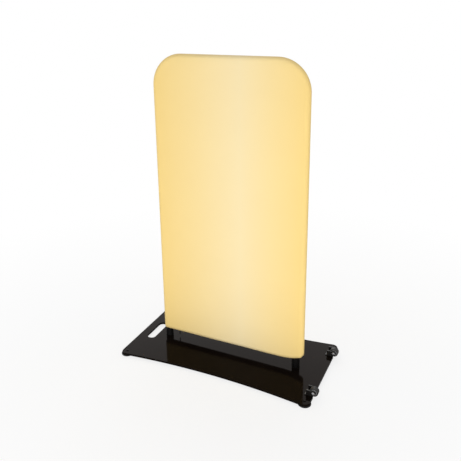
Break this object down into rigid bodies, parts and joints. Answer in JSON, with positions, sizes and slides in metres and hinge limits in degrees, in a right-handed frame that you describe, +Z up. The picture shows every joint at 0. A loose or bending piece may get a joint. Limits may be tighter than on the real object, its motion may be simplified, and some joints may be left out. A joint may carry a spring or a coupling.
{
  "type": "sidewalk sign",
  "caption": "Free-standing sidewalk sign: weighted steel base plate with hand slot and transport wheels, lift-off tube frame on spigots, and a zipped textile cover.",
  "frame": {"origin": "centre of the footprint, on the floor", "axes": "+Z up, +X along the base plate towards the transport wheels, -Y out of the sign's front face"},
  "size_m": [0.796, 0.4048, 1.171],
  "materials": {
    "plate_lacquer": "glossy black lacquer",
    "foot_rubber": "matte moulded rubber",
    "black_screw": "black oxide, satin",
    "zinc_steel": "zinc plated, satin",
    "bracket_black": "satin black powder coat",
    "hub_plastic": "matte grey moulding",
    "tyre_rubber": "matte hard rubber",
    "bush_bronze": "machined",
    "bright_steel": "bright zinc",
    "tube_black": "satin black powder coat",
    "rivet_aluminium": "satin",
    "spring_steel": "blued spring steel, satin",
    "cover_cloth": "printed knitted polyester, matte",
    "hem_cloth": "folded polyester, matte",
    "zip_tape": "woven polyester tape",
    "zip_plastic": "moulded teeth",
    "zip_metal": "black lacquered die casting"
  },
  "bodies": {
    "base": {"base_plate": "plate_lacquer", "rubber_feet": "foot_rubber", "foot_screws": "black_screw", "foot_nuts": "zinc_steel", "spigot_left": "zinc_steel", "spigot_right": "zinc_steel", "spigot_bolts": "black_screw", "wheel_bracket_near": "bracket_black", "wheel_bracket_far": "bracket_black", "bracket_screws": "black_screw", "axle_bolts": "bright_steel", "axle_nuts": "bright_steel", "wheel_washers": "bright_steel"},
    "frame": {"upright_left": "tube_black", "upright_right": "tube_black", "top_bow": "tube_black", "joint_sleeve_left": "zinc_steel", "joint_sleeve_right": "zinc_steel", "sleeve_rivets": "rivet_aluminium", "button_spring_left": "spring_steel", "button_spring_right": "spring_steel", "cover_front": "cover_cloth", "cover_back": "cover_cloth", "cover_edge": "cover_cloth", "hem_facing_front": "hem_cloth", "hem_facing_back": "hem_cloth", "zip_tape_front": "zip_tape", "zip_tape_back": "zip_tape", "zip_teeth": "zip_plastic", "zip_stops": "bright_steel"},
    "wheel_near": {"wheel_hub_near": "hub_plastic", "wheel_tyre_near": "tyre_rubber", "wheel_bush_near": "bush_bronze"},
    "wheel_far": {"wheel_hub_far": "hub_plastic", "wheel_tyre_far": "tyre_rubber", "wheel_bush_far": "bush_bronze"},
    "button_left": {"button_left": "bright_steel"},
    "button_right": {"button_right": "bright_steel"},
    "zip_slider": {"zip_slider": "zip_metal"},
    "zip_pull": {"zip_pull": "zip_metal"}
  },
  "joints": [
    {"name": "frame_lift", "type": "slide", "parent": "base", "child": "frame", "axis": [0, 0, 1], "range_m": [0, 0.065]},
    {"name": "wheel_near_spin", "type": "hinge", "parent": "base", "child": "wheel_near", "pos_m": [0.382, -0.132, 0.026], "axis": [0, 1, 0], "continuous": true},
    {"name": "wheel_far_spin", "type": "hinge", "parent": "base", "child": "wheel_far", "pos_m": [0.382, 0.132, 0.026], "axis": [0, 1, 0], "continuous": true},
    {"name": "button_left_press", "type": "slide", "parent": "frame", "child": "button_left", "axis": [-1, 0, 0], "range_m": [0, 0.005], "stiffness_N_per_m": 800, "springref_m": -0.005},
    {"name": "button_right_press", "type": "slide", "parent": "frame", "child": "button_right", "axis": [1, 0, 0], "range_m": [0, 0.005], "stiffness_N_per_m": 800, "springref_m": -0.005},
    {"name": "zip_slide", "type": "slide", "parent": "frame", "child": "zip_slider", "axis": [1, 0, 0], "range_m": [0, 0.434]},
    {"name": "zip_pull_swing", "type": "hinge", "parent": "zip_slider", "child": "zip_pull", "pos_m": [-0.2332, 0, 0.048], "axis": [0, 1, 0], "range_deg": [-75, 75]}
  ]
}
